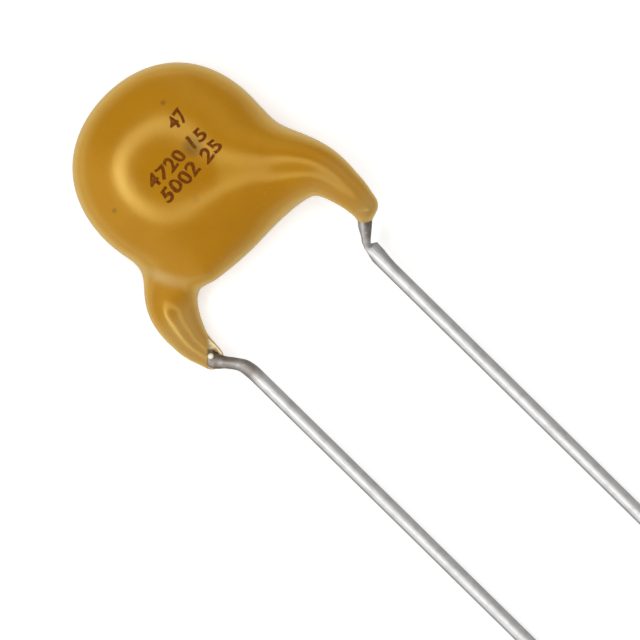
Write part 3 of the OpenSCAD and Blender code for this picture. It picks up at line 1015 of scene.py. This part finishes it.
class CAPACITOR_OT_figures(bpy.types.Operator):
    """Print the plain figures on the disc's face"""

    bl_idname = "capacitor.figures"
    bl_label = "Printed figures"

    lines = {  # [left, foot, width]
        "top": (1.3, 1.55, 1.15),
        "upper": (-1.77, 0.05, 4.2),
        "lower": (-1.77, -1.0, 4.35),
    }
    fatter = 0.032  # added round each stroke, for a letter 1 high
    wobble = 0.04  # how far a hand stamp shifts the strokes
    longest_edge = 0.12
    over = 6  # height from which the figures drop onto the face
    near_face = 2.4  # and where they look for it if they miss
    lift = 0.006  # of the ink off the face

    def line_mesh(self, text, height, left, foot, width):
        curve = bpy.data.curves.new("figures", "FONT")
        curve.body = text
        curve.resolution_u = 6
        curve.offset = self.fatter
        curve.space_character = 1.05
        host = bpy.data.objects.new("figures", curve)
        bpy.context.scene.collection.objects.link(host)
        bpy.context.view_layer.update()
        mesh = bpy.data.meshes.new_from_object(host)
        bpy.data.objects.remove(host)
        bm = bmesh.new()
        bm.from_mesh(mesh)
        co = np.array([v.co for v in bm.verts])
        low, size = co.min(0), np.ptp(co, axis=0)
        for v in bm.verts:
            v.co.x = left + (v.co.x - low[0]) / size[0] * width
            v.co.y = foot + (v.co.y - low[1]) / size[1] * height
        return bm

    def execute(self, context):
        settings = context.scene.capacitor_print
        tall = settings.height / MM
        bm = bmesh.new()
        for key, (left, foot, width) in self.lines.items():
            line = self.line_mesh(getattr(settings, key), tall, left, foot, width)
            whole = bpy.data.meshes.new("line")
            line.to_mesh(whole)
            line.free()
            bm.from_mesh(whole)
        bmesh.ops.triangulate(bm, faces=bm.faces)
        for _ in range(3):
            long = [e for e in bm.edges if e.calc_length() > self.longest_edge]
            bmesh.ops.subdivide_edges(bm, edges=long, cuts=1)
            bmesh.ops.triangulate(bm, faces=bm.faces)
        skin = bpy.data.objects["epoxy_skin"].data
        corners = [tuple(p) for p in to_component(points_of(skin))]
        tree = BVHTree.FromPolygons(corners, [tuple(f.vertices) for f in skin.polygons])
        for v in bm.verts:
            x, y = v.co.x, v.co.y
            v.co.x += self.wobble * math.sin(5.1 * y + 2.3 * x)
            v.co.y += self.wobble * math.sin(4.3 * x + 1.7 * y)
            hit = tree.ray_cast(Vector((v.co.x, v.co.y, self.over)), Vector((0, 0, -1)))[0]
            if hit is None:
                hit = tree.find_nearest(Vector((v.co.x, v.co.y, self.near_face)))[0]
            v.co.z = hit.z + self.lift
        bm.transform(TO_ROW)
        piece = finish_piece("printed_figures", bm, ink_material(context.scene.capacitor_finish))
        return {"FINISHED"}


class CAPACITOR_OT_inside(bpy.types.Operator):
    """Finish the pieces sealed inside the coating"""

    bl_idname = "capacitor.inside"
    bl_label = "Sealed pieces"

    # [finish, nodes, colour, colour of the flecks, flecks per metre, metallic, roughness]
    finishes = (
        ("ceramic", ("ceramic_disc",), (0.62, 0.52, 0.4), (0.52, 0.42, 0.31), 5200.0, 0.0, 0.62),
        (
            "silver", ("front_electrode", "back_electrode"),
            (0.8, 0.79, 0.76), (0.68, 0.67, 0.64), 7000.0, 1.0, 0.42,
        ),
        (
            "solder", ("front_solder", "back_solder"),
            (0.64, 0.64, 0.63), (0.5, 0.5, 0.49), 3000.0, 1.0, 0.3,
        ),
    )

    def execute(self, context):
        for name, nodes, *look in self.finishes:
            material = inner_material(f"{name}_finish", *look)
            for node in nodes:
                mesh = frame["nodes"][node].data
                mesh.materials.clear()
                mesh.materials.append(material)
        return {"FINISHED"}


class CAPACITOR_OT_stage(bpy.types.Operator):
    """Set the white table, the lamps and the camera"""

    bl_idname = "capacitor.stage"
    bl_label = "Table, lamps and camera"

    table_r = 1.2
    table_grey = 0.86
    table_glow = 0.45  # only where it is seen, to make it white
    table_shine = 0.5  # its brightness in glossy pieces
    # What glossy pieces see of the sky: [axis, from, to, level at from, level at to]
    shines = ((2, 0.8, 0.98, 0.4, 0.05), (2, 0.35, 0.1, 0.0, 0.4), (0, -0.25, -0.7, 0.0, 0.85))
    right_window = ((0.4, 0.62), (0.85, 0.7), 0.45)  # [left side, right side, level]

    def white_table(self):
        bm = bmesh.new()
        bmesh.ops.create_circle(bm, cap_ends=True, segments=96, radius=self.table_r)
        mesh = bpy.data.meshes.new("table")
        bm.to_mesh(mesh)
        bm.free()
        table = bpy.data.objects.new("table", mesh)
        bpy.context.scene.collection.objects.link(table)
        material, n = new_material("white_table")
        path = n.add("ShaderNodeLightPath")
        seen = n.math("MAXIMUM", path.outputs["Is Camera Ray"], path.outputs["Is Transmission Ray"])
        cloth = n.add("ShaderNodeBsdfDiffuse", {"Color": rgba([self.table_grey] * 3)})
        strength = n.math("MULTIPLY", seen, self.table_glow)
        glow = n.add("ShaderNodeEmission", {"Color": WHITE, "Strength": strength})
        plain = n.add("ShaderNodeAddShader", {0: cloth.outputs[0], 1: glow.outputs[0]})
        mirrored = n.add("ShaderNodeEmission", {"Color": WHITE, "Strength": self.table_shine})
        glossy = path.outputs["Is Glossy Ray"]
        kinds = {0: glossy, 1: plain.outputs[0], 2: mirrored.outputs[0]}
        close_material(n, n.add("ShaderNodeMixShader", kinds))
        mesh.materials.append(material)

    def sky(self, level):
        world = bpy.data.worlds.new("studio")
        bpy.context.scene.world = world
        world.use_nodes = True
        n = Nodes(world.node_tree)
        path = n.add("ShaderNodeLightPath")
        way = n.add("ShaderNodeSeparateXYZ", {0: n.add("ShaderNodeTexCoord").outputs["Generated"]})
        left_side, right_side, level_there = self.right_window
        across = way.outputs[0]
        window = n.math("MULTIPLY", n.span(across, *left_side), n.span(across, *right_side))
        shine = n.math("MULTIPLY", window, level_there)
        for axis, *span in self.shines:
            shine = n.math("ADD", shine, n.span(way.outputs[axis], *span))
        seen = n.math("MAXIMUM", path.outputs["Is Camera Ray"], path.outputs["Is Transmission Ray"])
        glossy = path.outputs["Is Glossy Ray"]
        plain = n.math("MULTIPLY", n.math("SUBTRACT", 1.0, glossy), level)
        strength = n.math("ADD", plain, n.math("MULTIPLY", glossy, shine))
        strength = n.math("MAXIMUM", strength, seen)
        sky = n.add("ShaderNodeBackground", {"Color": WHITE, "Strength": strength})
        n.tree.links.new(sky.outputs[0], n.add("ShaderNodeOutputWorld").inputs[0])

    def lamps(self, settings, over):
        """A ring of lamps round the camera, leaning to one side and strongest there."""
        height = settings.lamp_distance
        inner, outer = (height * math.tan(math.radians(angle)) for angle in RING)
        turn = math.radians(RING_LEAN_WAY)
        lean = height * math.tan(math.radians(RING_LEAN))
        middle = over + lean * Vector((math.cos(turn), math.sin(turn), 0))
        for i in range(settings.lamp_count):
            angle = 360 * i / settings.lamp_count
            share = RING_FLOOR
            for strongest, half, more in RING_STRONG:
                off = abs((angle - strongest + 180) % 360 - 180)
                share += more * ramp(half, 0, off)
            a = math.radians(angle)
            lamp = bpy.data.lights.new(f"ring_lamp_{i}", "AREA")
            lamp.shape = "DISK"
            lamp.size = outer - inner
            lamp.energy = settings.lamp_power * share
            host = bpy.data.objects.new(lamp.name, lamp)
            reach = (inner + outer) / 2
            place = middle + Vector((reach * math.cos(a), reach * math.sin(a), height))
            host.location = place
            host.rotation_mode = "QUATERNION"
            host.rotation_quaternion = (over - place).to_track_quat("-Z", "Y")
            host.visible_camera = False
            bpy.context.scene.collection.objects.link(host)

    def camera(self, settings, over_disc):
        """Straight down on the disc's face, turned so that the leads run to the lower right."""
        roll = math.radians(CAMERA_ROLL)
        right = Vector((math.cos(roll), math.sin(roll), 0))
        up = Vector((-math.sin(roll), math.cos(roll), 0))
        width = settings.view_width
        over, under = (HALF_FRAME - where for where in DISC_IN_FRAME)
        aim = over_disc + (right * over - up * under) * width / (2 * HALF_FRAME)
        camera = bpy.data.cameras.new("camera")
        camera.sensor_fit = "HORIZONTAL"
        camera.sensor_width = SENSOR
        camera.lens = SENSOR * settings.camera_distance / width
        camera.clip_start, camera.clip_end = 0.01, 10
        host = bpy.data.objects.new("camera", camera)
        place = aim + Vector((0, 0, settings.camera_distance))
        host.matrix_world = Matrix.Translation(place) @ Matrix.Rotation(roll, 4, "Z")
        bpy.context.scene.collection.objects.link(host)
        bpy.context.scene.camera = host

    def execute(self, context):
        settings = context.scene.capacitor_stage
        self.white_table()
        self.sky(settings.sky_level)
        disc = TO_ROW @ Vector((0, 0, 0))
        self.lamps(settings, disc)
        self.camera(settings, disc)
        context.scene.view_settings.view_transform = "Standard"
        return {"FINISHED"}


PIECES = (
    CAPACITOR_OT_coating,
    CAPACITOR_OT_wires,
    CAPACITOR_OT_drop,
    CAPACITOR_OT_figures,
    CAPACITOR_OT_inside,
    CAPACITOR_OT_stage,
)


class CAPACITOR_PT_panel(bpy.types.Panel):
    """Lists the capacitor's pieces and settings"""

    bl_idname = "CAPACITOR_PT_panel"
    bl_label = "Ceramic disc capacitor"
    bl_space_type = "VIEW_3D"
    bl_region_type = "UI"
    bl_category = "Capacitor"

    def draw(self, context):
        for name in SETTINGS:
            settings = getattr(context.scene, name)
            box = self.layout.box()
            for key in settings.__annotations__:
                box.prop(settings, key)
        for piece in PIECES:
            self.layout.operator(piece.bl_idname)


SETTINGS = {
    "capacitor_finish": FinishSettings,
    "capacitor_print": PrintSettings,
    "capacitor_stage": StageSettings,
}


def register():
    for group in SETTINGS.values():
        bpy.utils.register_class(group)
    for name, group in SETTINGS.items():
        setattr(bpy.types.Scene, name, PointerProperty(type=group))
    for piece in (*PIECES, CAPACITOR_PT_panel):
        bpy.utils.register_class(piece)


def unregister():
    for piece in (CAPACITOR_PT_panel, *reversed(PIECES)):
        bpy.utils.unregister_class(piece)
    for name, group in SETTINGS.items():
        delattr(bpy.types.Scene, name)
        bpy.utils.unregister_class(group)


def main():
    register()
    bpy.ops.capacitor.coating()
    bpy.ops.capacitor.wires()
    bpy.ops.capacitor.drop()
    bpy.ops.capacitor.figures()
    bpy.ops.capacitor.inside()
    bpy.ops.capacitor.stage()


if __name__ == "__main__":
    main()
